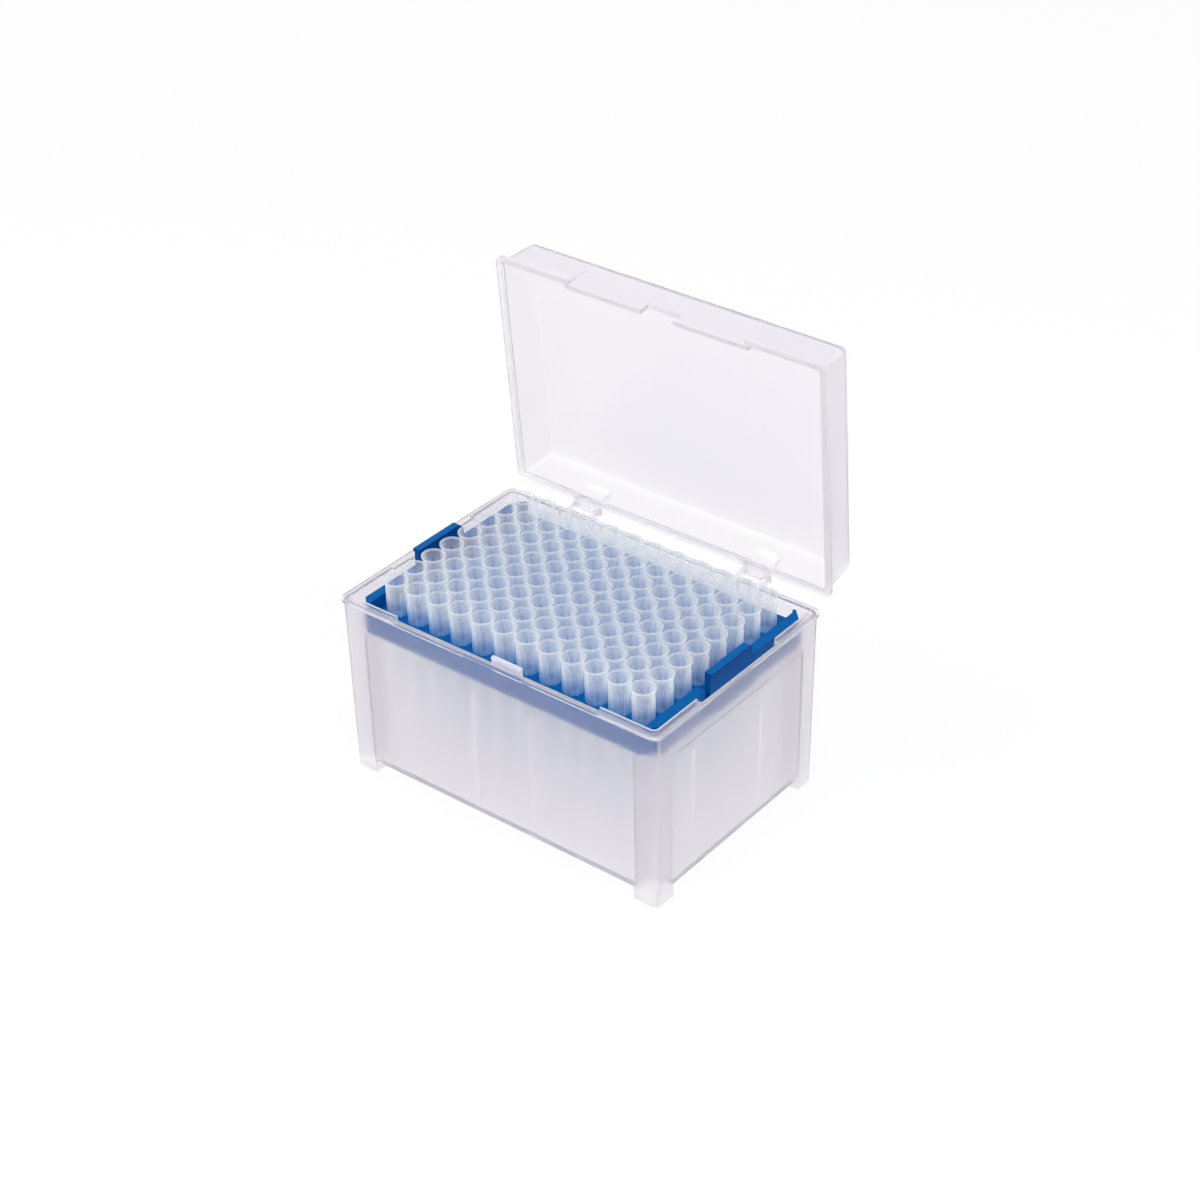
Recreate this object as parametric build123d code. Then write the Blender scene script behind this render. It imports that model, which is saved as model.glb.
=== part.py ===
from build123d import *
import math
import os

# Box of pipette tips: a lidded polypropylene box on four corner feet, a blue rack that seats
# in it, and 96 tips hanging in the rack. Millimetres. The origin is the centre of the base's
# footprint on the table, +X along the long side, +Y towards the hinge, +Z up.
# The lid is drawn closed and then swung open about its hinge pins.

# Base box
RIM_X = 127.8
RIM_Y = 86.3
FLANGE_OUT = 0.7
FLANGE_H = 1.1
LEDGE_Z = 65.4
FLOOR_Z = 4.7
WALL = 1.2
FLOOR = 1.4
DRAFT = 0.55
CORNER_R = 2.4
FOOT_X = 9.0
FOOT_Y = 8.3
COLUMN_WALL = 1.0
LEDGE_DEPTH = 0.9
LEDGE_THICK = 0.8
LEDGE_HALF = 33.0
LIP = 0.7
LIP_R = 1.3
LIP_GAP = 0.25
LIP_ROOT = 0.2
LIP_UP = 0.8
LIP_DOWN = 1.4
LIP_CLEAR_X = 40.7
LIP_CLEAR_Y = 20.0
RIB_DEPTH = 0.7
RIB_W = 1.0
RIB_TOP = 51.3
FRONT_RIBS = (-9.3, 13.7)
SIDE_RIBS = (-23.4, 11.6)

# Rim details
SCOOP_WIDE = 0.9
SCOOPS = ((-19.4, 20.6, 1.3), (-10.4, 6.2, 1.8))
RECESS_X = (-11.3, 15.2)
RECESS_SLANT = 2.4
RECESS_DEPTH = 0.45
TONGUE_X = (0.5, 12.0)
TONGUE_UP = 3.35
BEAD_R = 0.75
TONGUE_THICK = 1.0

# Hinge; bracket and hook points are measured from the pin axis
HINGE_X = 34.6
HINGE_W = 10.3
AXIS_Y = 46.2
AXIS_Z = 64.3
PIN_R = 1.2
PIN_GAP = 0.05
BRACKET_DROP = 9.5
HEEL = ((2.0, -3.0), (3.0, -1.2), (3.0, 3.2), (1.2, 3.05), (0.2, 1.7))
HOOK_R = 2.3
HOOK_NECK = ((-1.4, 1.3), (0.0, 1.3), (0.8, 2.0), (0.0, 3.0))
HOOK_MOUTH = ((0.3, 0.0), (-5.0, -1.6), (-2.0, -5.0))
PAD_DEEP = 1.9
PAD_H = 7.8
PAD_BEVEL = (0.6, 1.8)
ARM_W = 1.6
ARM_GAP = 0.25
OPEN_DEG = 85.1

# Lid, closed: its rim rests on the base's ledge
LID_GAP = 0.15
LID_X = 127.8
LID_Y = 86.2
LID_H = 15.2
LID_WALL = 1.3
LID_FLANGE = 1.2
LID_FLANGE_H = 1.2
LID_DRAFT_X = 1.3
LID_DRAFT_Y = 0.5
LID_EDGE_R = 1.0
REBATE = 0.55
REBATE_H = 1.1
LID_CORNER_R = 2.4
FRONT_SET_BACK = 34.3
SET_BACK = 2.1
SET_BACK_FADE = 13.5
SET_BACK_WALL = 1.5
CATCH = 0.45
CATCH_Z = (0.8, 1.9)
NOTCH_X = (-5.2, 7.3)
NOTCH_H = 4.0

# Rack
PITCH = 9.0
COLUMNS = 12
ROWS = 8
RACK_Y0 = 0.7
RACK_X = 117.6
RACK_Y = 80.0
RACK_CHAMFER = 3.6
RACK_BOTTOM = 54.3
DECK_TOP = 59.3
DECK = 1.6
BAND_TOP = 63.9
BAND_WIDE = 3.4
SKIN = 1.2
EAR_X = 4.1
LONG_EDGE = 36.6
TAB_Y = (-11.6, 10.4)
TAB_TOP = 69.4
TAB_OUT = 59.6
TAB_THICK = 2.1
SLOT_X = (54.5, 57.5)
SLOT_Y = (-12.8, 11.6)
TAB_CORNER = 2.0
TAB_BEAD = (0.5, 1.2)
RACK_RIB = 1.0
RACK_RIB_UP = 0.6

# Tip, measured down from its mouth
MOUTH_Z = 71.8
TIP_LENGTH = 64.0
MOUTH_R = 4.05
TIP_SIDES = 12
COLLAR_R = 3.9
COLLAR_END = MOUTH_Z - DECK_TOP
STEM_R = 3.0
POINT_R = 0.55
TIP_WALL = 0.55
HOLE_R = 3.25


def rounded_block(size_x, size_y, radius, z_low, z_high):
    """A straight block with rounded vertical edges, centred on Z."""
    with BuildSketch(Plane.XY.offset(z_low)) as outline:
        RectangleRounded(size_x, size_y, radius)
    return extrude(outline.sketch, z_high - z_low)


def drafted_block(size_x, size_y, radius, z_low, z_high, shrink):
    """A block that narrows towards z_low by shrink on every side."""
    with BuildSketch(Plane.XY.offset(z_low)) as low:
        RectangleRounded(size_x - 2 * shrink, size_y - 2 * shrink, radius)
    with BuildSketch(Plane.XY.offset(z_high)) as high:
        RectangleRounded(size_x, size_y, radius)
    return loft([low.sketch, high.sketch])


def box_between(x, y, z):
    """A plain block between pairs of limits."""
    block = Box(x[1] - x[0], y[1] - y[0], z[1] - z[0])
    return Pos((x[0] + x[1]) / 2, (y[0] + y[1]) / 2, (z[0] + z[1]) / 2) * block


def along_x(points, x_low, x_high):
    """A YZ outline drawn through its points and pulled along X."""
    wire = Polyline(*[(x_low, y, z) for y, z in points], close=True)
    return extrude(make_face(wire), x_high - x_low, dir=(1, 0, 0))


def four_corners(quarter):
    """A shape in the +X +Y corner and its three mirror images."""
    half = [quarter, mirror(quarter, Plane.YZ)]
    return half + [mirror(each, Plane.XZ) for each in half]


WALL_X = RIM_X - 2 * FLANGE_OUT
WALL_Y = RIM_Y - 2 * FLANGE_OUT
CAVITY_X = WALL_X - 2 * WALL
CAVITY_Y = WALL_Y - 2 * WALL


def base_shell():
    """Tapered walls, floor and the four hollow feet with the columns above them."""
    height = LEDGE_Z - FLOOR_Z
    floor_top = FLOOR_Z + FLOOR
    shell = drafted_block(WALL_X, WALL_Y, CORNER_R, FLOOR_Z, LEDGE_Z, DRAFT)
    cavity = drafted_block(CAVITY_X, CAVITY_Y, CORNER_R - WALL, floor_top, LEDGE_Z + 1,
                           DRAFT * (height - FLOOR) / height)
    low_x = WALL_X / 2 - DRAFT
    low_y = WALL_Y / 2 - DRAFT
    footprint = rounded_block(2 * low_x, 2 * low_y, CORNER_R, 0, floor_top)
    foot = box_between((low_x - FOOT_X, WALL_X), (low_y - FOOT_Y, WALL_Y), (0, floor_top))
    for each in four_corners(foot & footprint):
        shell = shell + each
    shell = shell - cavity
    column_x = low_x - FOOT_X
    column_y = low_y - FOOT_Y
    column = box_between((column_x, WALL_X), (column_y, WALL_Y), (floor_top - 0.1, RACK_BOTTOM))
    column = column - box_between((column_x + COLUMN_WALL, WALL_X), (column_y + COLUMN_WALL, WALL_Y),
                                  (0, RACK_BOTTOM + 1))
    inside = drafted_block(WALL_X - WALL, WALL_Y - WALL, CORNER_R - WALL / 2, FLOOR_Z, LEDGE_Z, DRAFT)
    for each in four_corners(column & inside):
        shell = shell + each
    pocket = box_between((column_x + COLUMN_WALL, low_x - WALL), (column_y + COLUMN_WALL, low_y - WALL),
                         (FLOOR, floor_top + 0.1))
    for each in four_corners(pocket):
        shell = shell - each
    return shell


def lip_ring(size_x, size_y, radius, z_low, z_high):
    """A closed ring of the given outer size whose inner face is where the corner lips have theirs."""
    inner = 2 * (LIP_GAP + LIP)
    outer = rounded_block(size_x, size_y, radius, z_low, z_high)
    return outer - rounded_block(CAVITY_X - inner, CAVITY_Y - inner, LIP_R, z_low - 1, z_high + 1)


def rim():
    """Flange round the top, and the locating lips at its four corners."""
    flange = rounded_block(RIM_X, RIM_Y, CORNER_R + FLANGE_OUT, LEDGE_Z - FLANGE_H, LEDGE_Z)
    opening = rounded_block(CAVITY_X, CAVITY_Y, CORNER_R - WALL, LEDGE_Z - FLANGE_H - 1, LEDGE_Z + 1)
    root = lip_ring(CAVITY_X + 2 * LIP_ROOT, CAVITY_Y + 2 * LIP_ROOT, CORNER_R - WALL + LIP_ROOT,
                    LEDGE_Z - LIP_DOWN, LEDGE_Z)
    lip = lip_ring(CAVITY_X - 2 * LIP_GAP, CAVITY_Y - 2 * LIP_GAP, LIP_R + LIP, LEDGE_Z - 1, LEDGE_Z + LIP_UP)
    span = (LEDGE_Z - LIP_DOWN - 1, LEDGE_Z + LIP_UP + 1)
    lip = root + lip
    lip = lip - box_between((-LIP_CLEAR_X, LIP_CLEAR_X), (-RIM_Y, RIM_Y), span)
    lip = lip - box_between((-RIM_X, RIM_X), (-LIP_CLEAR_Y, LIP_CLEAR_Y), span)
    return (flange - opening) + lip


def scoops():
    """Dips in the inner edge of the short sides, beside the rack's handles."""
    cuts = []
    inner = CAVITY_X / 2
    for side in (-1, 1):
        x_near = sorted((side * (inner - 1), side * (inner + SCOOP_WIDE)))
        for y_low, y_high, depth in SCOOPS:
            cuts.append(box_between(x_near, (y_low, y_high), (LEDGE_Z - depth, LEDGE_Z + 1)))
    return cuts


def end_ledges():
    """A thin ledge inside each end wall, level with the rack's lower edge."""
    ledges = []
    inner = CAVITY_X / 2
    for side in (-1, 1):
        x_near = sorted((side * (inner - LEDGE_DEPTH), side * (inner + WALL / 2)))
        z = (RACK_BOTTOM - LEDGE_THICK, RACK_BOTTOM)
        ledges.append(box_between(x_near, (-LEDGE_HALF, LEDGE_HALF), z))
    return ledges


def latch_recess():
    """The shallow recess in the front of the flange; its right end is slanted."""
    front = -RIM_Y / 2
    low, high = LEDGE_Z - FLANGE_H - 0.1, LEDGE_Z + 0.1
    with BuildSketch(Plane.XZ.offset(-front + 1)) as outline:
        with BuildLine():
            Polyline((RECESS_X[0], low), (RECESS_X[1], low), (RECESS_X[1] - RECESS_SLANT, high),
                     (RECESS_X[0], high), close=True)
        make_face()
    return extrude(outline.sketch, -(1 + RECESS_DEPTH))


def latch_tongue():
    """The springy tongue with a bead along its top, outside the lid's front wall."""
    front = -RIM_Y / 2
    top = LEDGE_Z + TONGUE_UP
    blade = box_between(TONGUE_X, (front, front + TONGUE_THICK), (LEDGE_Z - FLANGE_H, top))
    bead = Rot(0, 90, 0) * Cylinder(BEAD_R, TONGUE_X[1] - TONGUE_X[0])
    bead = Pos((TONGUE_X[0] + TONGUE_X[1]) / 2, front + TONGUE_THICK / 2, top) * bead
    return blade + bead


def wall_ribs():
    """Slim upright ribs inside the front, back and end walls."""
    z = (FLOOR_Z + FLOOR - 0.2, RIB_TOP)
    ribs = []
    for side in (-1, 1):
        inner = side * (CAVITY_Y / 2 - DRAFT)
        deep = sorted((inner - side * RIB_DEPTH, inner + side * WALL))
        for x in FRONT_RIBS:
            ribs.append(box_between((x - RIB_W / 2, x + RIB_W / 2), deep, z))
        inner = side * (CAVITY_X / 2 - DRAFT)
        deep = sorted((inner - side * RIB_DEPTH, inner + side * WALL))
        for y in SIDE_RIBS:
            ribs.append(box_between(deep, (y - RIB_W / 2, y + RIB_W / 2), z))
    return ribs


def from_axis(points):
    """Points given from the hinge pin's axis, as (y, z) on the closed box."""
    return [(AXIS_Y + y, AXIS_Z + z) for y, z in points]


def pin_bar(x, radius, length):
    """A bar on the hinge axis, centred at x."""
    return Pos(x, AXIS_Y, AXIS_Z) * Rot(0, 90, 0) * Cylinder(radius, length)


def hinge_bracket(x):
    """Two gusseted arms behind the rim that carry one pin, with a heel that stops the lid."""
    wall = WALL_Y / 2 - 0.4
    foot_z = LEDGE_Z - BRACKET_DROP
    profile = [(wall, LEDGE_Z - FLANGE_H), (wall, foot_z), (wall + 0.8, foot_z)] + from_axis(HEEL)
    profile = profile + [(RIM_Y / 2, LEDGE_Z), (RIM_Y / 2 - 1, LEDGE_Z)]
    bracket = pin_bar(x, PIN_R, HINGE_W - ARM_W)
    for side in (-1, 1):
        outer = x + side * HINGE_W / 2
        span = sorted((outer, outer - side * ARM_W))
        bracket = bracket + along_x(profile, *span)
    return bracket


def base_box():
    base = base_shell() + rim()
    for cut in scoops():
        base = base - cut
    base = base - latch_recess()
    base = base + latch_tongue()
    for rib in wall_ribs() + end_ledges():
        base = base + rib
    for side in (-1, 1):
        base = base + hinge_bracket(side * HINGE_X)
    return base


LID_RIM_Z = LEDGE_Z + LID_GAP
LID_TOP_Z = LID_RIM_Z + LID_H


def lid_block(inset, z_low, z_high):
    """The lid's drafted outer form brought in by inset, between two heights of the closed lid."""
    outlines = []
    for z in (z_low, z_high):
        rise = (z - LID_RIM_Z) / LID_H
        with BuildSketch(Plane.XY.offset(z)) as outline:
            RectangleRounded(LID_X - 2 * (LID_FLANGE + inset + rise * LID_DRAFT_X),
                             LID_Y - 2 * (LID_FLANGE + inset + rise * LID_DRAFT_Y), LID_CORNER_R - inset)
        outlines.append(outline.sketch)
    return loft(outlines)


def lid_shell():
    """A shallow drafted tray, rim down, with a flange and a rebate that clears the base's lips."""
    outer = lid_block(0, LID_RIM_Z, LID_TOP_Z)
    outer = fillet(outer.edges().group_by(Axis.Z)[-1], LID_EDGE_R)
    inner = lid_block(LID_WALL, LID_RIM_Z - 1, LID_TOP_Z - LID_WALL)
    rebate = lid_block(LID_WALL - REBATE, LID_RIM_Z - 1, LID_RIM_Z + REBATE_H)
    flange = rounded_block(LID_X, LID_Y, LID_CORNER_R + 0.4, LID_RIM_Z, LID_RIM_Z + LID_FLANGE_H)
    return (outer + flange) - inner - rebate


def set_back_front(closed):
    """Between its front corners the lid has no flange: the wall leans back to its rim and is notched."""
    front = -LID_Y / 2
    outer = front + SET_BACK
    wall = front + LID_FLANGE + LID_DRAFT_Y * SET_BACK_FADE / LID_H
    lean = (outer - wall) / SET_BACK_FADE
    low = LID_RIM_Z - 1
    high = LID_TOP_Z - LID_WALL / 2
    high_y = outer - lean * (high - LID_RIM_Z)
    clear = along_x([(front - 1, low), (outer + lean, low), (high_y, high), (front - 1, high)],
                    -FRONT_SET_BACK, FRONT_SET_BACK)
    inner = outer + SET_BACK_WALL
    slab = along_x([(outer, LID_RIM_Z), (inner, LID_RIM_Z), (high_y + SET_BACK_WALL, high), (high_y, high)],
                   -FRONT_SET_BACK - LID_WALL, FRONT_SET_BACK + LID_WALL)
    ridge_low, ridge_high = (LID_RIM_Z + z for z in CATCH_Z)
    ridge = along_x([(outer + 0.2, ridge_low), (outer - CATCH, ridge_low + CATCH),
                     (outer - CATCH, ridge_high - CATCH / 2), (outer + 0.2, ridge_high)],
                    NOTCH_X[1] + 0.6, TONGUE_X[1] - 0.4)
    notch = box_between(NOTCH_X, (front - 1, front + 5), (low, LID_RIM_Z + NOTCH_H))
    return ((closed - clear) + slab + ridge) - notch


def hinge_hook(x):
    """A pad on the lid's back wall and the hook that snaps over one pin."""
    back = LID_Y / 2
    low = LID_RIM_Z
    high = low + PAD_H
    inner = back - PAD_DEEP
    pad = along_x([(inner, low), (back, low), (back, high - PAD_BEVEL[1]), (back - PAD_BEVEL[0], high),
                   (inner, high)], x - HINGE_W / 2, x + HINGE_W / 2)
    half = HINGE_W / 2 - ARM_W - ARM_GAP
    neck = [(back - 1, low), (back + 0.6, low)] + from_axis(HOOK_NECK) + [(back - 1, low + 2.2)]
    hook = along_x(neck, x - half, x + half) + pin_bar(x, HOOK_R, 2 * half)
    hook = hook - pin_bar(x, PIN_R + PIN_GAP, 2 * half + 2)
    return pad + (hook - along_x(from_axis(HOOK_MOUTH), x - half - 1, x + half + 1))


def swing_open(shape):
    """Turns a shape drawn closed about the hinge pins to the open rest position."""
    about = Axis((0, AXIS_Y, AXIS_Z), (1, 0, 0))
    return shape.rotate(about, -OPEN_DEG)


def lid():
    closed = lid_shell()
    closed = set_back_front(closed)
    for side in (-1, 1):
        closed = closed + hinge_hook(side * HINGE_X)
    return swing_open(closed)


def tip_places():
    """Column by column, the (x, y) of the tip centres."""
    first_x = -PITCH * (COLUMNS - 1) / 2
    first_y = RACK_Y0 - PITCH * (ROWS - 1) / 2
    return [[(first_x + PITCH * column, first_y + PITCH * row) for row in range(ROWS)]
            for column in range(COLUMNS)]


def rack_outline(inset):
    """The rack's plan with clipped corners, brought in by inset."""
    half_x = RACK_X / 2 - inset
    half_y = RACK_Y / 2 - inset
    clip = RACK_CHAMFER - inset * (2 - math.sqrt(2))
    corner = [(half_x - clip, half_y), (half_x, half_y - clip)]
    quarter = corner + [(x, -y) for x, y in reversed(corner)]
    return make_face(Polyline(*quarter, *[(-x, y) for x, y in reversed(quarter)], close=True))


def rack_plan(inset, z_low, z_high):
    """The rack's plan pulled up from z_low to z_high."""
    return Pos(0, RACK_Y0, z_low) * extrude(rack_outline(inset), z_high - z_low)


def deck_plate():
    """The flat deck, with one hole to each tip."""
    outline = rack_outline(SKIN / 2)
    with BuildSketch() as plate:
        add(outline)
        with GridLocations(PITCH, PITCH, COLUMNS, ROWS):
            RegularPolygon(HOLE_R, TIP_SIDES, mode=Mode.SUBTRACT)
    return Pos(0, RACK_Y0, DECK_TOP - DECK) * extrude(plate.sketch, DECK)


def end_bands():
    """Raised hollow bands along both ends, joined to the skirt at the corners."""
    inner = RACK_X / 2 - BAND_WIDE
    band = rack_plan(SKIN / 2, DECK_TOP - DECK / 2, BAND_TOP)
    band = band - box_between((-inner, inner), (-RACK_Y, RACK_Y), (RACK_BOTTOM, BAND_TOP + 1))
    hollow = rack_plan(SKIN, RACK_BOTTOM, BAND_TOP - SKIN)
    hollow = hollow - box_between((-inner - SKIN, inner + SKIN), (-RACK_Y, RACK_Y), (RACK_BOTTOM, BAND_TOP))
    return band - hollow


def rack_ribs():
    """Stiffening ribs under the deck, between the rows and columns of tips."""
    z = (RACK_BOTTOM + RACK_RIB_UP, DECK_TOP - DECK + 0.1)
    half = RACK_RIB / 2
    reach_x = RACK_X / 2 - SKIN / 2
    reach_y = RACK_Y / 2 - SKIN / 2
    ribs = []
    for index in range(2, COLUMNS, 2):
        x = PITCH * (index - COLUMNS / 2)
        ribs.append(box_between((x - half, x + half), (RACK_Y0 - reach_y, RACK_Y0 + reach_y), z))
    for index in range(2, ROWS, 2):
        y = RACK_Y0 + PITCH * (index - ROWS / 2)
        ribs.append(box_between((-reach_x, reach_x), (y - half, y + half), z))
    return ribs


def tip_rack():
    """Deck with 96 holes, skirt, raised end bands, underside ribs and the two handles."""
    rack = rack_plan(0, RACK_BOTTOM, BAND_TOP) - rack_plan(SKIN, RACK_BOTTOM - 1, BAND_TOP + 1)
    rack = rack + end_bands()
    ear = RACK_X / 2 - EAR_X
    for low, high in ((LONG_EDGE, RACK_Y), (-RACK_Y, -LONG_EDGE)):
        rack = rack - box_between((-ear, ear), (low + RACK_Y0, high + RACK_Y0), (DECK_TOP, TAB_TOP))
    rack = rack + deck_plate() + rack_ribs()
    slot_y = (SLOT_Y[0] + RACK_Y0, SLOT_Y[1] + RACK_Y0)
    for side in (-1, 1):
        slot_x = sorted((side * SLOT_X[0], side * SLOT_X[1]))
        rack = rack - box_between(slot_x, slot_y, (RACK_BOTTOM - 1, BAND_TOP + 1))
        above_x = sorted((side * (SLOT_X[0] - 2), side * RACK_X))
        rack = rack - box_between(above_x, slot_y, (DECK_TOP, BAND_TOP + 1))
        rack = rack + handle_tab(side)
    return rack


def handle_tab(side):
    """An upright end handle with a bead along its top and one clipped corner."""
    y_low, y_high = (y + RACK_Y0 for y in TAB_Y)
    clipped = y_high - TAB_CORNER
    with BuildSketch(Plane.YZ.offset(TAB_OUT - TAB_THICK)) as outline:
        with BuildLine():
            Polyline((y_low, RACK_BOTTOM), (y_high, RACK_BOTTOM), (y_high, TAB_TOP - TAB_CORNER),
                     (clipped, TAB_TOP), (y_low, TAB_TOP), close=True)
        make_face()
    bead_out, bead_h = TAB_BEAD
    bead = box_between((TAB_OUT - bead_out, TAB_OUT + bead_out), (y_low, clipped), (TAB_TOP - bead_h, TAB_TOP))
    tab = extrude(outline.sketch, TAB_THICK) + bead
    return tab if side > 0 else mirror(tab, Plane.YZ)


def flat_ring(radius, z):
    """The corner points of a level regular polygon with TIP_SIDES sides."""
    turns = [2 * math.pi * side / TIP_SIDES for side in range(TIP_SIDES)]
    return [Vector(radius * math.cos(turn), radius * math.sin(turn), z) for turn in turns]


def fluted_frustum(z_low, radius_low, z_high, radius_high):
    """A prism with TIP_SIDES flat sides whose corner radius changes evenly with height."""
    low = flat_ring(radius_low, z_low)
    high = flat_ring(radius_high, z_high)
    faces = [Face(Wire.make_polygon(low)), Face(Wire.make_polygon(high))]
    for side in range(TIP_SIDES):
        after = (side + 1) % TIP_SIDES
        faces.append(Face(Wire.make_polygon([low[side], low[after], high[after], high[side]])))
    return Solid(Shell(faces))


def tip():
    """One hollow tip on the Z axis: a fluted collar, and a stem that narrows to the point."""
    collar_z = MOUTH_Z - COLLAR_END
    end_z = MOUTH_Z - TIP_LENGTH
    collar = fluted_frustum(collar_z, COLLAR_R, MOUTH_Z, MOUTH_R)
    stem = fluted_frustum(end_z, POINT_R, collar_z, STEM_R)
    upper_bore = fluted_frustum(collar_z, STEM_R - TIP_WALL, MOUTH_Z, MOUTH_R - TIP_WALL)
    lower_bore = fluted_frustum(end_z, POINT_R - TIP_WALL / 2, collar_z, STEM_R - TIP_WALL)
    return collar + stem - upper_bore - lower_bore


def tips_column(places):
    """Eight separate tips in one column."""
    one = tip()
    return Compound(children=[Pos(x, y, 0) * one for x, y in places])


def main():
    os.makedirs("parts", exist_ok=True)
    export_step(base_box(), "parts/base_box.step")
    export_step(lid(), "parts/lid.step")
    export_step(tip_rack(), "parts/tip_rack.step")
    for number, places in enumerate(tip_places(), start=1):
        export_step(tips_column(places), f"parts/tips_column_{number:02d}.step")


main()
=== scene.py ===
import math

import bpy
from mathutils import Matrix, Vector


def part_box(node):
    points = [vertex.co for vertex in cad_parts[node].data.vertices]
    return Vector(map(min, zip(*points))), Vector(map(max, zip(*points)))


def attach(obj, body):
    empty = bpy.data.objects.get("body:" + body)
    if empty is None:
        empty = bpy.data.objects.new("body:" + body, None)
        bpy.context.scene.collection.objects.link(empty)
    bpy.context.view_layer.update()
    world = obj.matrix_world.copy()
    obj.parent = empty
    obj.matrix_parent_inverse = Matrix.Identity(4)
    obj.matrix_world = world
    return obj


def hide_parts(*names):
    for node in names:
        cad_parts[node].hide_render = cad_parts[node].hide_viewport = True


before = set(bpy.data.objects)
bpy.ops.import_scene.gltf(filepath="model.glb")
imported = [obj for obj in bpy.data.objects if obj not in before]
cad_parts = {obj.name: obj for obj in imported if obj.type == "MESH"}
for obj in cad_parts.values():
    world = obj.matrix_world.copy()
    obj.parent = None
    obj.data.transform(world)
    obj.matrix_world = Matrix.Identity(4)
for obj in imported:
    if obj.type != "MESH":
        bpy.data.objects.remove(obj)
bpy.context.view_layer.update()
mm = 0.001
print("frame loaded:", len(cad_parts), "nodes")


def linear(hexColour):
    # sRGB hex to the linear values that shaders take
    parts = [int(hexColour[i:i + 2], 16) / 255 for i in (0, 2, 4)]
    flat = [p / 12.92 if p <= 0.04045 else ((p + 0.055) / 1.055) ** 2.4 for p in parts]
    return (*flat, 1.0)


def addNode(tree, kind, settings=None, values=None, links=None):
    # one node: its own settings, its sockets' values, and links into its sockets
    made = tree.nodes.new(kind)
    for name, value in (settings or {}).items():
        setattr(made, name, value)
    for name, value in (values or {}).items():
        made.inputs[name].default_value = value
    for name, source in (links or {}).items():
        tree.links.new(source, made.inputs[name])
    return made


def newMaterial(name):
    made = bpy.data.materials.new(name)
    made.use_nodes = True
    made.node_tree.nodes.clear()
    return made, made.node_tree


# natural polypropylene, injection moulded: milky, see-through only to what is close behind it
boxPlastic = {
    "passColour": "fffefe",         # what is left of light that goes straight through
    "roughness": (0.29, 0.35),      # varies with the flow marks
    "ior": 1.49,
    "edgeClear": 0.5,               # share seen straight through where a thin edge turns away
    "edgeFrom": 0.6,                # how far a face has turned when that starts; 1 is edge on
    "flowSize": 22.2 * mm,          # weld and flow marks
    "grainSize": 0.455 * mm,        # fine spark-eroded grain, drawn coarser so that it shows
    "grainDepth": 0.012 * mm,
    "grainStrength": 0.35,
}
baseLook = {
    "colour": "fffcff",
    "flowColour": "fdfaff",
    "clearShare": 0.968,            # share of the light that crosses a wall; the rest is milk
    "thickShare": 0.8,              # feet, tongue and hinge arms are thick, so they are milkier
    "feetFade": (4.0 * mm, 6.0 * mm),       # heights between the feet and the clear walls
    "lipFade": (66.3 * mm, 66.5 * mm),      # heights between the rim's lips and what is above them
    "ribPlaces": {"X": (-9.3 * mm, 13.7 * mm), "Y": (-23.4 * mm, 11.6 * mm)},
    "ribShare": 0.86,               # the slim ribs inside the walls show as faint milky lines
    "ribFade": (0.4 * mm, 0.7 * mm),        # distance from a rib's middle over which its line ends
    "ribTopFade": (51.1 * mm, 51.3 * mm),
}
lidLook = {
    "colour": "fffcff",
    "flowColour": "fcf9ff",
    "clearShare": 0.925,
}


def lampsPass(tree, shader, tint):
    # lamps and diffuse light cross the thin plastic, so that the inside is as bright
    # as under real milky walls
    path = addNode(tree, "ShaderNodeLightPath")
    light = addNode(tree, "ShaderNodeMath", {"operation": "MAXIMUM"}, None,
                    {0: path.outputs["Is Shadow Ray"], 1: path.outputs["Is Diffuse Ray"]})
    clear = addNode(tree, "ShaderNodeBsdfTransparent", None, {"Color": linear(tint)})
    mix = addNode(tree, "ShaderNodeMixShader", None, None,
                  {"Fac": light.outputs[0], 1: shader.outputs[0], 2: clear.outputs[0]})
    addNode(tree, "ShaderNodeOutputMaterial", None, None, {"Surface": mix.outputs[0]})


def ribLines(tree, place, look):
    # clear share by the distance to the nearest wall rib, and 1 above the ribs
    nearest = None
    for axis, centres in look["ribPlaces"].items():
        for centre in centres:
            aside = addNode(tree, "ShaderNodeMath", {"operation": "SUBTRACT"}, {1: centre},
                            {0: place.outputs[axis]})
            distance = addNode(tree, "ShaderNodeMath", {"operation": "ABSOLUTE"}, None,
                               {0: aside.outputs[0]})
            if nearest:
                distance = addNode(tree, "ShaderNodeMath", {"operation": "MINIMUM"}, None,
                                   {0: nearest.outputs[0], 1: distance.outputs[0]})
            nearest = distance
    nearLine, offLine = look["ribFade"]
    line = addNode(tree, "ShaderNodeMapRange", None,
                   {"From Min": nearLine, "From Max": offLine,
                    "To Min": look["ribShare"], "To Max": 1.0},
                   {"Value": nearest.outputs[0]})
    underTop, ribTop = look["ribTopFade"]
    above = addNode(tree, "ShaderNodeMapRange", None,
                    {"From Min": underTop, "From Max": ribTop}, {"Value": place.outputs["Z"]})
    share = addNode(tree, "ShaderNodeMath", {"operation": "MAXIMUM"}, None,
                    {0: line.outputs["Result"], 1: above.outputs["Result"]})
    return share.outputs[0]


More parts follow.
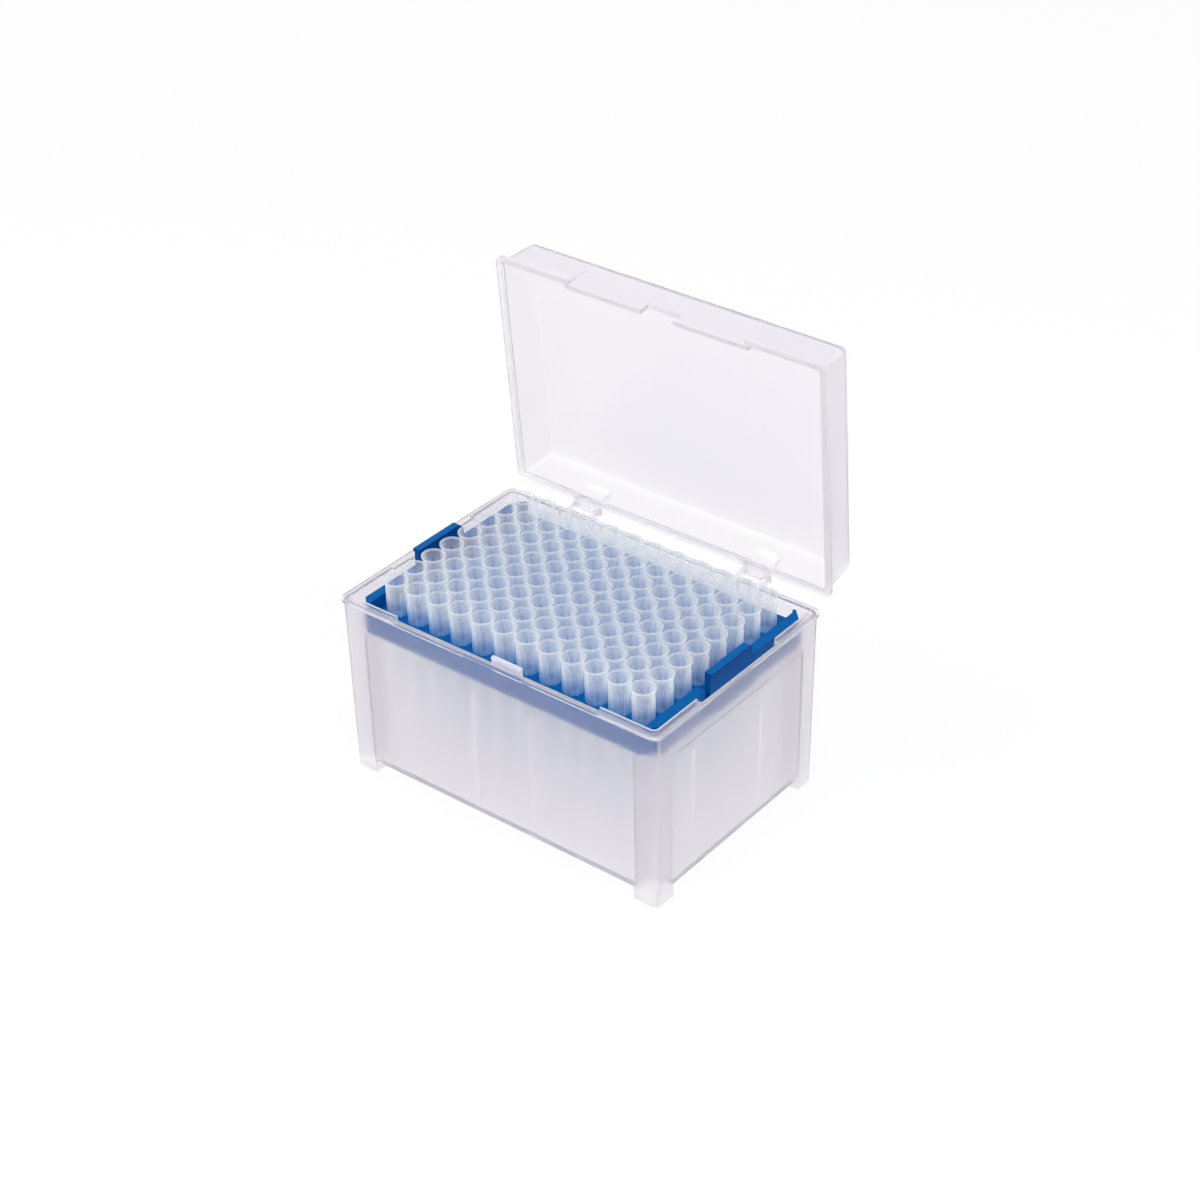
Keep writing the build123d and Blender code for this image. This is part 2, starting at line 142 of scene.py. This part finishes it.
def baseClearShare(tree, point, look):
    # clear walls, milkier below the floor, above the lips and along the ribs
    place = addNode(tree, "ShaderNodeSeparateXYZ", None, None, {"Vector": point})
    lipTop, aboveLip = look["lipFade"]
    top = addNode(tree, "ShaderNodeMapRange", None,
                  {"From Min": lipTop, "From Max": aboveLip,
                   "To Min": look["clearShare"], "To Max": look["thickShare"]},
                  {"Value": place.outputs["Z"]})
    feetTop, wallFoot = look["feetFade"]
    low = addNode(tree, "ShaderNodeMapRange", None,
                  {"From Min": feetTop, "From Max": wallFoot,
                   "To Min": look["thickShare"], "To Max": 1.0},
                  {"Value": place.outputs["Z"]})
    ends = addNode(tree, "ShaderNodeMath", {"operation": "MINIMUM"}, None,
                   {0: top.outputs["Result"], 1: low.outputs["Result"]})
    share = addNode(tree, "ShaderNodeMath", {"operation": "MINIMUM"}, None,
                    {0: ends.outputs[0], 1: ribLines(tree, place, look)})
    return share.outputs[0]


def makeBoxPlastic(name, look):
    material, tree = newMaterial(name)
    point = addNode(tree, "ShaderNodeTexCoord").outputs["Object"]
    flow = addNode(tree, "ShaderNodeTexNoise", None,
                   {"Scale": 1 / boxPlastic["flowSize"], "Detail": 3.0, "Roughness": 0.55},
                   {"Vector": point})
    grain = addNode(tree, "ShaderNodeTexNoise", None,
                    {"Scale": 1 / boxPlastic["grainSize"], "Detail": 2.0}, {"Vector": point})
    tint = addNode(tree, "ShaderNodeMix", {"data_type": "RGBA"},
                   {"A": linear(look["flowColour"]), "B": linear(look["colour"])},
                   {"Factor": flow.outputs["Fac"]})
    smoothest, roughest = boxPlastic["roughness"]
    rough = addNode(tree, "ShaderNodeMapRange", None, {"To Min": smoothest, "To Max": roughest},
                    {"Value": flow.outputs["Fac"]})
    bump = addNode(tree, "ShaderNodeBump", None,
                   {"Strength": boxPlastic["grainStrength"], "Distance": boxPlastic["grainDepth"]},
                   {"Height": grain.outputs["Fac"]})
    shader = addNode(tree, "ShaderNodeBsdfPrincipled", None,
                     {"IOR": boxPlastic["ior"], "Transmission Weight": look["clearShare"]},
                     {"Base Color": tint.outputs["Result"], "Roughness": rough.outputs["Result"],
                      "Normal": bump.outputs["Normal"]})
    if "thickShare" in look:
        tree.links.new(baseClearShare(tree, point, look), shader.inputs["Transmission Weight"])
    edge = addNode(tree, "ShaderNodeLayerWeight", None, {"Blend": 0.5})
    turned = addNode(tree, "ShaderNodeMapRange", None,
                     {"From Min": boxPlastic["edgeFrom"], "From Max": 1.0,
                      "To Max": boxPlastic["edgeClear"]},
                     {"Value": edge.outputs["Facing"]})
    passed = linear(boxPlastic["passColour"])
    straight = addNode(tree, "ShaderNodeBsdfTransparent", None, {"Color": passed})
    soft = addNode(tree, "ShaderNodeMixShader", None, None,
                   {"Fac": turned.outputs["Result"], 1: shader.outputs[0], 2: straight.outputs[0]})
    lampsPass(tree, soft, boxPlastic["passColour"])
    return material


# blue masterbatch polypropylene: opaque, satin from the mould; its blue carries painted shade in
# gaps and on standing faces, and painted light from the tips
rackPlastic = {
    "colour": "005da4",
    "swirlColour": "00599e",
    "paintedShadeColour": "003a80",         # painted shade: the darker blue put on standing faces and in gaps, where shade falls
    "paintedShadeReach": 8.0 * mm,
    "openness": (0.35, 0.9),        # how open a face is in a gap and in the open
    "levelShareVsPaintedShade": (0.5, 1.0),       # share of the plain colour there on level faces; the rest is painted shade
    "standingShareVsPaintedShade": (0.5, 0.1),    # and on standing ones: mostly painted shade in the open, lifted in gaps by painted light from the tips
    "levelFrom": 0.8,               # a face counts as level when its normal points up this much
    "roughness": 0.42,
    "specular": 0.06,
    "ior": 1.49,
    "swirlSize": 16.7 * mm,         # pigment swirls
    "grainSize": 0.385 * mm,        # mould grain, drawn coarser so that it shows
    "grainDepth": 0.015 * mm,
    "grainStrength": 0.4,
}


def makeRackPlastic():
    look = rackPlastic
    material, tree = newMaterial("bluePolypropylene")
    point = addNode(tree, "ShaderNodeTexCoord").outputs["Object"]
    swirl = addNode(tree, "ShaderNodeTexNoise", None,
                    {"Scale": 1 / look["swirlSize"], "Detail": 3.0}, {"Vector": point})
    grain = addNode(tree, "ShaderNodeTexNoise", None,
                    {"Scale": 1 / look["grainSize"], "Detail": 2.0}, {"Vector": point})
    tint = addNode(tree, "ShaderNodeMix", {"data_type": "RGBA"},
                   {"A": linear(look["swirlColour"]), "B": linear(look["colour"])},
                   {"Factor": swirl.outputs["Fac"]})
    # painted shade and light by ambient occlusion: level faces darker in gaps, standing faces
    # lighter there
    room = addNode(tree, "ShaderNodeAmbientOcclusion", {"samples": 8},
                   {"Distance": look["paintedShadeReach"]})
    gapRoom, openRoom = look["openness"]
    plainShareVsPaintedShade = {}
    for name in ("standingShareVsPaintedShade", "levelShareVsPaintedShade"):
        inGap, inOpen = look[name]
        made = addNode(tree, "ShaderNodeMapRange", None,
                       {"From Min": gapRoom, "From Max": openRoom,
                        "To Min": inGap, "To Max": inOpen},
                       {"Value": room.outputs["AO"]})
        plainShareVsPaintedShade[name] = made.outputs["Result"]
    # painted shade by slant: standing faces get more of the darker blue than level ones
    normal = addNode(tree, "ShaderNodeNewGeometry").outputs["Normal"]
    upward = addNode(tree, "ShaderNodeSeparateXYZ", None, None, {"Vector": normal})
    share = addNode(tree, "ShaderNodeMapRange", None, {"From Max": look["levelFrom"]},
                    {"Value": upward.outputs["Z"], "To Min": plainShareVsPaintedShade["standingShareVsPaintedShade"],
                     "To Max": plainShareVsPaintedShade["levelShareVsPaintedShade"]})
    shade = addNode(tree, "ShaderNodeMix", {"data_type": "RGBA"},
                    {"A": linear(look["paintedShadeColour"])},
                    {"Factor": share.outputs["Result"], "B": tint.outputs["Result"]})
    bump = addNode(tree, "ShaderNodeBump", None,
                   {"Strength": look["grainStrength"], "Distance": look["grainDepth"]},
                   {"Height": grain.outputs["Fac"]})
    shader = addNode(tree, "ShaderNodeBsdfPrincipled", None,
                     {"IOR": look["ior"], "Roughness": look["roughness"],
                      "Specular IOR Level": look["specular"]},
                     {"Base Color": shade.outputs["Result"], "Normal": bump.outputs["Normal"]})
    addNode(tree, "ShaderNodeOutputMaterial", None, None, {"Surface": shader.outputs["BSDF"]})
    return material


finishes = {
    "base_box": makeBoxPlastic("basePolypropylene", baseLook),
    "lid": makeBoxPlastic("lidPolypropylene", lidLook),
    "tip_rack": makeRackPlastic(),
}
for nodeName, material in finishes.items():
    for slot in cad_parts[nodeName].material_slots:
        slot.material = material
print("box and rack finished")


tipShape = {
    "columns": 12,
    "rows": 8,
    "pitch": 9.0 * mm,
    "rowOffset": 0.7 * mm,          # the rack stands this far behind the box's middle
    "mouthHeight": 71.8 * mm,
    "deckHeight": 59.3 * mm,
    "endHeight": 7.8 * mm,
    "mouthRadius": 4.04 * mm,
    "ringHeight": 0.7 * mm,
    "ringEdge": 0.12 * mm,
    "ringFillet": 0.1 * mm,
    "collarRadius": 3.5 * mm,
    "collarTaper": (0.02 * mm, 0.1 * mm, 0.12 * mm),    # slimmer at rib tops, rib feet and deck
    "collarClear": 0.02 * mm,       # the collar ends just above the deck
    "stemRadius": 2.9 * mm,
    "kneeDown": 0.36,               # the stem's taper changes this share of the way down
    "kneeShare": 0.62,              # and this share of the taper is still to come there
    "pointRadius": 0.5 * mm,
    "pointBore": 0.25 * mm,
    "wall": 0.35 * mm,
    "boreEdge": 0.096 * mm,
    "boreLeadIn": (0.25 * mm, 1.5 * mm),                # how far the bore goes in, and down
    "ribs": 12,
    "ribStart": 3.6 * mm,
    "ribRunOut": 0.3 * mm,
    "ribDepth": 0.2 * mm,
    "ribSharpness": 4,
    "ribFoot": 1.5,                 # the ribs flare to this much of their depth on the deck
    "ribFootHeight": 0.6 * mm,
    "segments": 84,
    "smoothAngle": 35,
}

# the tips are a clearer, thinner polypropylene: see-through face on, milky seen edge on
tipPlastic = {
    "passColour": "fdfeff",
    "paintedBlueSpan": (-3.0 * mm, -2.0 * mm, 0.0, 6.5 * mm),  # heights from the deck for the colours
    "colours": ("feffff", "5f9fd8", "5f9fd8", "feffff"),        # painted light: the deck's blue glow put into the collar's foot
    # the see-through part takes the same painted blue at the foot; below the deck it is a little
    # greyer, partly absorption in the many stems and partly painted shade under the deck
    "clearColours": ("f6f8fc", "c4e0f8", "c4e0f8", "fcfeff"),
    "roughness": (0.16, 0.26),
    "specular": 0.3,
    "ior": 1.49,
    "milkyFaceOn": 0.1,
    "milkyEdgeOn": 0.65,
    "throughShare": 0.55,           # share of the milky light that comes through from behind
    "footMilk": 0.2,                # more milk at the foot, which fades out going up
    "footMilkStart": (-0.6 * mm, -0.1 * mm),
    "footMilkHeight": 4.0 * mm,
    "ribMilk": 0.14,                # the ribs are thicker, so they are whiter; their flared feet are whiter still, partly by thickness and partly as painted highlight
    "ringMilk": 0.22,               # and so is the mouth ring
    "ringFade": 0.1 * mm,
    "flowSize": 3.85 * mm,
    "flowDepth": 0.01 * mm,
    "flowStrength": 0.25,
}


def heightRamp(tree, height, heights, colours):
    # heights going up, and the hex colour at each
    low, high = heights[0], heights[-1]
    share = addNode(tree, "ShaderNodeMapRange", None, {"From Min": low, "From Max": high},
                    {"Value": height})
    ramp = addNode(tree, "ShaderNodeValToRGB", None, None, {"Fac": share.outputs["Result"]})
    marks = ramp.color_ramp.elements
    marks[0].color = linear(colours[0])
    marks[1].color = linear(colours[-1])
    for level, colour in zip(heights[1:-1], colours[1:-1]):
        marks.new((level - low) / (high - low)).color = linear(colour)
    return ramp.outputs["Color"]


def addedMilk(tree, height):
    # extra milkiness of the thick places: the mouth ring, the ribs and the collar's foot; the rib
    # feet also carry a painted highlight
    look = tipPlastic
    deck = tipShape["deckHeight"]
    ringLow = tipShape["mouthHeight"] - tipShape["ringHeight"]
    ring = addNode(tree, "ShaderNodeMapRange", None,
                   {"From Min": ringLow - look["ringFade"], "From Max": ringLow,
                    "To Max": look["ringMilk"]},
                   {"Value": height})
    ribs = addNode(tree, "ShaderNodeAttribute", {"attribute_name": "rib"})
    ringAndRibs = addNode(tree, "ShaderNodeMath", {"operation": "MULTIPLY_ADD"},
                          {1: look["ribMilk"]},
                          {0: ribs.outputs["Fac"], 2: ring.outputs["Result"]})
    fade = addNode(tree, "ShaderNodeMapRange", None,
                   {"From Min": deck, "From Max": deck + look["footMilkHeight"],
                    "To Min": look["footMilk"], "To Max": 0.0},
                   {"Value": height})
    startLow, startHigh = (deck + rise for rise in look["footMilkStart"])
    start = addNode(tree, "ShaderNodeMapRange", None,
                    {"From Min": startLow, "From Max": startHigh}, {"Value": height})
    foot = addNode(tree, "ShaderNodeMath", {"operation": "MINIMUM"}, None,
                   {0: fade.outputs["Result"], 1: start.outputs["Result"]})
    total = addNode(tree, "ShaderNodeMath", {"operation": "ADD"}, None,
                    {0: ringAndRibs.outputs[0], 1: foot.outputs[0]})
    return total.outputs[0]


def makeTipPlastic():
    look = tipPlastic
    material, tree = newMaterial("tipPolypropylene")
    point = addNode(tree, "ShaderNodeTexCoord").outputs["Object"]
    height = addNode(tree, "ShaderNodeSeparateXYZ", None, None, {"Vector": point}).outputs["Z"]
    flow = addNode(tree, "ShaderNodeTexNoise", None,
                   {"Scale": 1 / look["flowSize"], "Detail": 2.0}, {"Vector": point})
    smoothest, roughest = look["roughness"]
    rough = addNode(tree, "ShaderNodeMapRange", None, {"To Min": smoothest, "To Max": roughest},
                    {"Value": flow.outputs["Fac"]})
    bump = addNode(tree, "ShaderNodeBump", None,
                   {"Strength": look["flowStrength"], "Distance": look["flowDepth"]},
                   {"Height": flow.outputs["Fac"]})
    paintedBlueHeights = [tipShape["deckHeight"] + rise for rise in look["paintedBlueSpan"]]
    # painted light: the deck's blue in the body colour at the foot
    body = heightRamp(tree, height, paintedBlueHeights, look["colours"])
    skin = addNode(tree, "ShaderNodeBsdfPrincipled", None,
                   {"IOR": look["ior"], "Specular IOR Level": look["specular"]},
                   {"Base Color": body, "Roughness": rough.outputs["Result"],
                    "Normal": bump.outputs["Normal"]})
    through = addNode(tree, "ShaderNodeBsdfTranslucent", None, None, {"Color": body})
    milky = addNode(tree, "ShaderNodeMixShader", None, {0: look["throughShare"]},
                    {1: skin.outputs[0], 2: through.outputs[0]})
    edge = addNode(tree, "ShaderNodeLayerWeight", None, {"Blend": 0.5})
    wall = addNode(tree, "ShaderNodeMapRange", None,
                   {"To Min": look["milkyFaceOn"], "To Max": look["milkyEdgeOn"]},
                   {"Value": edge.outputs["Facing"]})
    milk = addNode(tree, "ShaderNodeMath", {"operation": "ADD", "use_clamp": True}, None,
                   {0: wall.outputs["Result"], 1: addedMilk(tree, height)})
    # painted light: the same blue in the see-through tint at the foot, and painted shade on the
    # stems below the deck
    clearTintWithPaintedBlue = heightRamp(tree, height, paintedBlueHeights, look["clearColours"])
    clear = addNode(tree, "ShaderNodeBsdfTransparent", None, None, {"Color": clearTintWithPaintedBlue})
    shader = addNode(tree, "ShaderNodeMixShader", None, None,
                     {0: milk.outputs[0], 1: clear.outputs[0], 2: milky.outputs[0]})
    lampsPass(tree, shader, look["passColour"])
    return material


def tipProfile():
    # (radius, height, share of the rib's depth) down the outside and back up the bore
    t = tipShape
    mouth, collar, stem, point = (t[name] for name in (
        "mouthRadius", "collarRadius", "stemRadius", "pointRadius"))
    top, deck, end = (t[name] for name in ("mouthHeight", "deckHeight", "endHeight"))
    edge, fillet, wall = t["ringEdge"], t["ringFillet"], t["wall"]
    atRibTop, atRibFoot, atDeck = t["collarTaper"]
    ringLow = top - t["ringHeight"]
    ribTop = top - t["ribStart"]
    knee = deck - t["kneeDown"] * (deck - end)
    kneeRadius = point + t["kneeShare"] * (stem - point)
    bore = mouth - wall
    leadIn, leadDown = t["boreLeadIn"]
    return [
        (mouth - edge, top, 0.0),
        (mouth, top - edge, 0.0),
        (mouth, ringLow + edge, 0.0),
        (mouth - edge, ringLow, 0.0),
        (collar + fillet, ringLow - fillet, 0.0),
        (collar, ribTop + t["ribRunOut"], 0.0),
        (collar - atRibTop, ribTop, 1.0),
        (collar - atRibFoot, deck + t["ribFootHeight"], 1.0),
        (collar - atDeck, deck + t["collarClear"], t["ribFoot"]),
        (stem, deck, 0.0),
        (kneeRadius, knee, 0.0),
        (point, end, 0.0),
        (t["pointBore"], end, 0.0),
        (kneeRadius - wall, knee, 0.0),
        (stem - wall, deck, 0.0),
        (bore - leadIn, ringLow - leadDown, 0.0),
        (bore, top - edge, 0.0),
        (bore + t["boreEdge"], top, 0.0),
    ]


def makeTipsColumn(number, centreX, material):
    # one mesh of eight separate tips, each turned from the profile, its collar ribbed
    t = tipShape
    profile = tipProfile()
    count = t["segments"]
    vertices, faces, ribShare = [], [], []
    for row in range(t["rows"]):
        centreY = t["rowOffset"] + t["pitch"] * (row - (t["rows"] - 1) / 2)
        start = len(vertices)
        for radius, height, rib in profile:
            for step in range(count):
                turn = 2 * math.pi * step / count
                wave = max(0.0, math.cos(t["ribs"] * turn)) ** t["ribSharpness"]
                out = radius + rib * t["ribDepth"] * wave
                vertices.append((centreX + out * math.cos(turn), centreY + out * math.sin(turn),
                                 height))
                # the rib's share is squared, so the flared rib feet on the deck come out whiter:
                # partly their thickness, partly a painted highlight for the glints at the collars'
                # feet
                ribShare.append(rib * rib * wave)
        for ring in range(len(profile)):
            low = start + ring * count
            high = start + ((ring + 1) % len(profile)) * count
            for step in range(count):
                after = (step + 1) % count
                faces.append((low + step, high + step, high + after, low + after))
    mesh = bpy.data.meshes.new(f"tipsColumn{number:02d}")
    mesh.from_pydata(vertices, [], faces)
    mesh.update()
    mesh.attributes.new("rib", "FLOAT", "POINT").data.foreach_set("value", ribShare)
    mesh.materials.append(material)
    for face in mesh.polygons:
        face.use_smooth = True
    mesh.set_sharp_from_angle(angle=math.radians(t["smoothAngle"]))
    piece = bpy.data.objects.new(mesh.name, mesh)
    bpy.context.scene.collection.objects.link(piece)
    return piece


tipMaterial = makeTipPlastic()
for number in range(1, tipShape["columns"] + 1):
    nodeName = f"tips_column_{number:02d}"
    low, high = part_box(nodeName)
    column = makeTipsColumn(number, (low[0] + high[0]) / 2, tipMaterial)
    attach(column, "base")
    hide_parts(nodeName)
print("tips made")


# white paper sweep: matt, with a soft shadow under the box
stageLook = {
    "floorColour": "fdfdfd",
    "floorSize": 6.0,
    "floorGlow": 0.84,              # share of plain white in the floor; the rest keeps the shadow
    "floorFade": (0.7, 1.6),        # out here it turns plain white, so that no horizon shows
    "worldStrength": 0.32,
    "lampAim": (0.0, 0.0, 0.06),
    "lamps": {
        "keyLamp": {"power": 44.0, "size": 2.0, "place": (0.3, -0.5, 2.6)},
        "sideLamp": {"power": 22.0, "size": 1.4, "place": (-1.2, -1.9, 1.0)},
        "rightLamp": {"power": 13.0, "size": 1.4, "place": (2.0, -0.3, 0.9)},
    },
}


def seenDirectly(tree):
    # 1 where the stage is seen, itself, in a gloss or through plastic, and 0 for the light it gives
    path = addNode(tree, "ShaderNodeLightPath")
    seen = path.outputs["Is Camera Ray"]
    for name in ("Is Glossy Ray", "Is Transmission Ray"):
        either = addNode(tree, "ShaderNodeMath", {"operation": "MAXIMUM"}, None,
                         {0: seen, 1: path.outputs[name]})
        seen = either.outputs[0]
    return seen


def makeFloor():
    half = stageLook["floorSize"] / 2
    corners = [(-half, -half, 0), (half, -half, 0), (half, half, 0), (-half, half, 0)]
    mesh = bpy.data.meshes.new("floor")
    mesh.from_pydata(corners, [], [(0, 1, 2, 3)])
    floor = bpy.data.objects.new("floor", mesh)
    bpy.context.scene.collection.objects.link(floor)
    material, tree = newMaterial("paperSweep")
    paper = addNode(tree, "ShaderNodeBsdfDiffuse", None,
                    {"Color": linear(stageLook["floorColour"])})
    glow = addNode(tree, "ShaderNodeEmission", None, {"Color": (1, 1, 1, 1), "Strength": 1.0})
    point = addNode(tree, "ShaderNodeTexCoord").outputs["Object"]
    away = addNode(tree, "ShaderNodeVectorMath", {"operation": "LENGTH"}, None, {0: point})
    fadeStart, fadeEnd = stageLook["floorFade"]
    white = addNode(tree, "ShaderNodeMapRange", None,
                    {"From Min": fadeStart, "From Max": fadeEnd,
                     "To Min": stageLook["floorGlow"], "To Max": 1.0},
                    {"Value": away.outputs["Value"]})
    share = addNode(tree, "ShaderNodeMath", {"operation": "MULTIPLY"}, None,
                    {0: seenDirectly(tree), 1: white.outputs["Result"]})
    mix = addNode(tree, "ShaderNodeMixShader", None, None,
                  {"Fac": share.outputs[0], 1: paper.outputs[0], 2: glow.outputs[0]})
    addNode(tree, "ShaderNodeOutputMaterial", None, None, {"Surface": mix.outputs[0]})
    mesh.materials.append(material)


def makeWorld():
    world = bpy.data.worlds.new("studio")
    world.use_nodes = True
    tree = world.node_tree
    tree.nodes.clear()
    level = addNode(tree, "ShaderNodeMapRange", None,
                    {"To Min": stageLook["worldStrength"], "To Max": 1.0},
                    {"Value": seenDirectly(tree)})
    sky = addNode(tree, "ShaderNodeBackground", None, {"Color": (1, 1, 1, 1)},
                  {"Strength": level.outputs["Result"]})
    addNode(tree, "ShaderNodeOutputWorld", None, None, {"Surface": sky.outputs[0]})
    bpy.context.scene.world = world


def makeLamp(name, power, size, place):
    data = bpy.data.lights.new(name, "AREA")
    data.energy = power
    data.shape = "DISK"
    data.size = size
    lamp = bpy.data.objects.new(name, data)
    lamp.location = place
    direction = Vector(stageLook["lampAim"]) - Vector(place)
    lamp.rotation_euler = direction.to_track_quat("-Z", "Y").to_euler()
    bpy.context.scene.collection.objects.link(lamp)


makeFloor()
makeWorld()
for name, lampLook in stageLook["lamps"].items():
    makeLamp(name, **lampLook)
print("stage made")


cameraView = {
    "place": (0.4426, -0.5371, 0.5220),
    "azimuth": 38.934,
    "elevation": 33.181,
    "roll": -1.164,
    "lens": 78.9,
    "sensor": 36.0,
}


def makeCamera():
    azimuth, elevation, roll = (math.radians(cameraView[name])
                                for name in ("azimuth", "elevation", "roll"))
    right = Vector((math.cos(azimuth), math.sin(azimuth), 0))
    back = Vector((math.sin(azimuth) * math.cos(elevation),
                   -math.cos(azimuth) * math.cos(elevation), math.sin(elevation)))
    up = back.cross(right)
    turnedRight = right * math.cos(roll) + up * math.sin(roll)
    turnedUp = up * math.cos(roll) - right * math.sin(roll)
    data = bpy.data.cameras.new("camera")
    data.lens = cameraView["lens"]
    data.sensor_width = cameraView["sensor"]
    camera = bpy.data.objects.new("camera", data)
    turn = Matrix((turnedRight, turnedUp, back)).transposed().to_4x4()
    camera.matrix_world = Matrix.Translation(cameraView["place"]) @ turn
    bpy.context.scene.collection.objects.link(camera)
    bpy.context.scene.camera = camera


makeCamera()
bpy.context.scene.cycles.transparent_max_bounces = 96   # a line of sight crosses many thin tips
bpy.context.scene.cycles.max_bounces = 28               # light is piped far along the walls
bpy.context.scene.cycles.transmission_bounces = 28
bpy.context.scene.view_settings.view_transform = "Standard"
print("camera set")
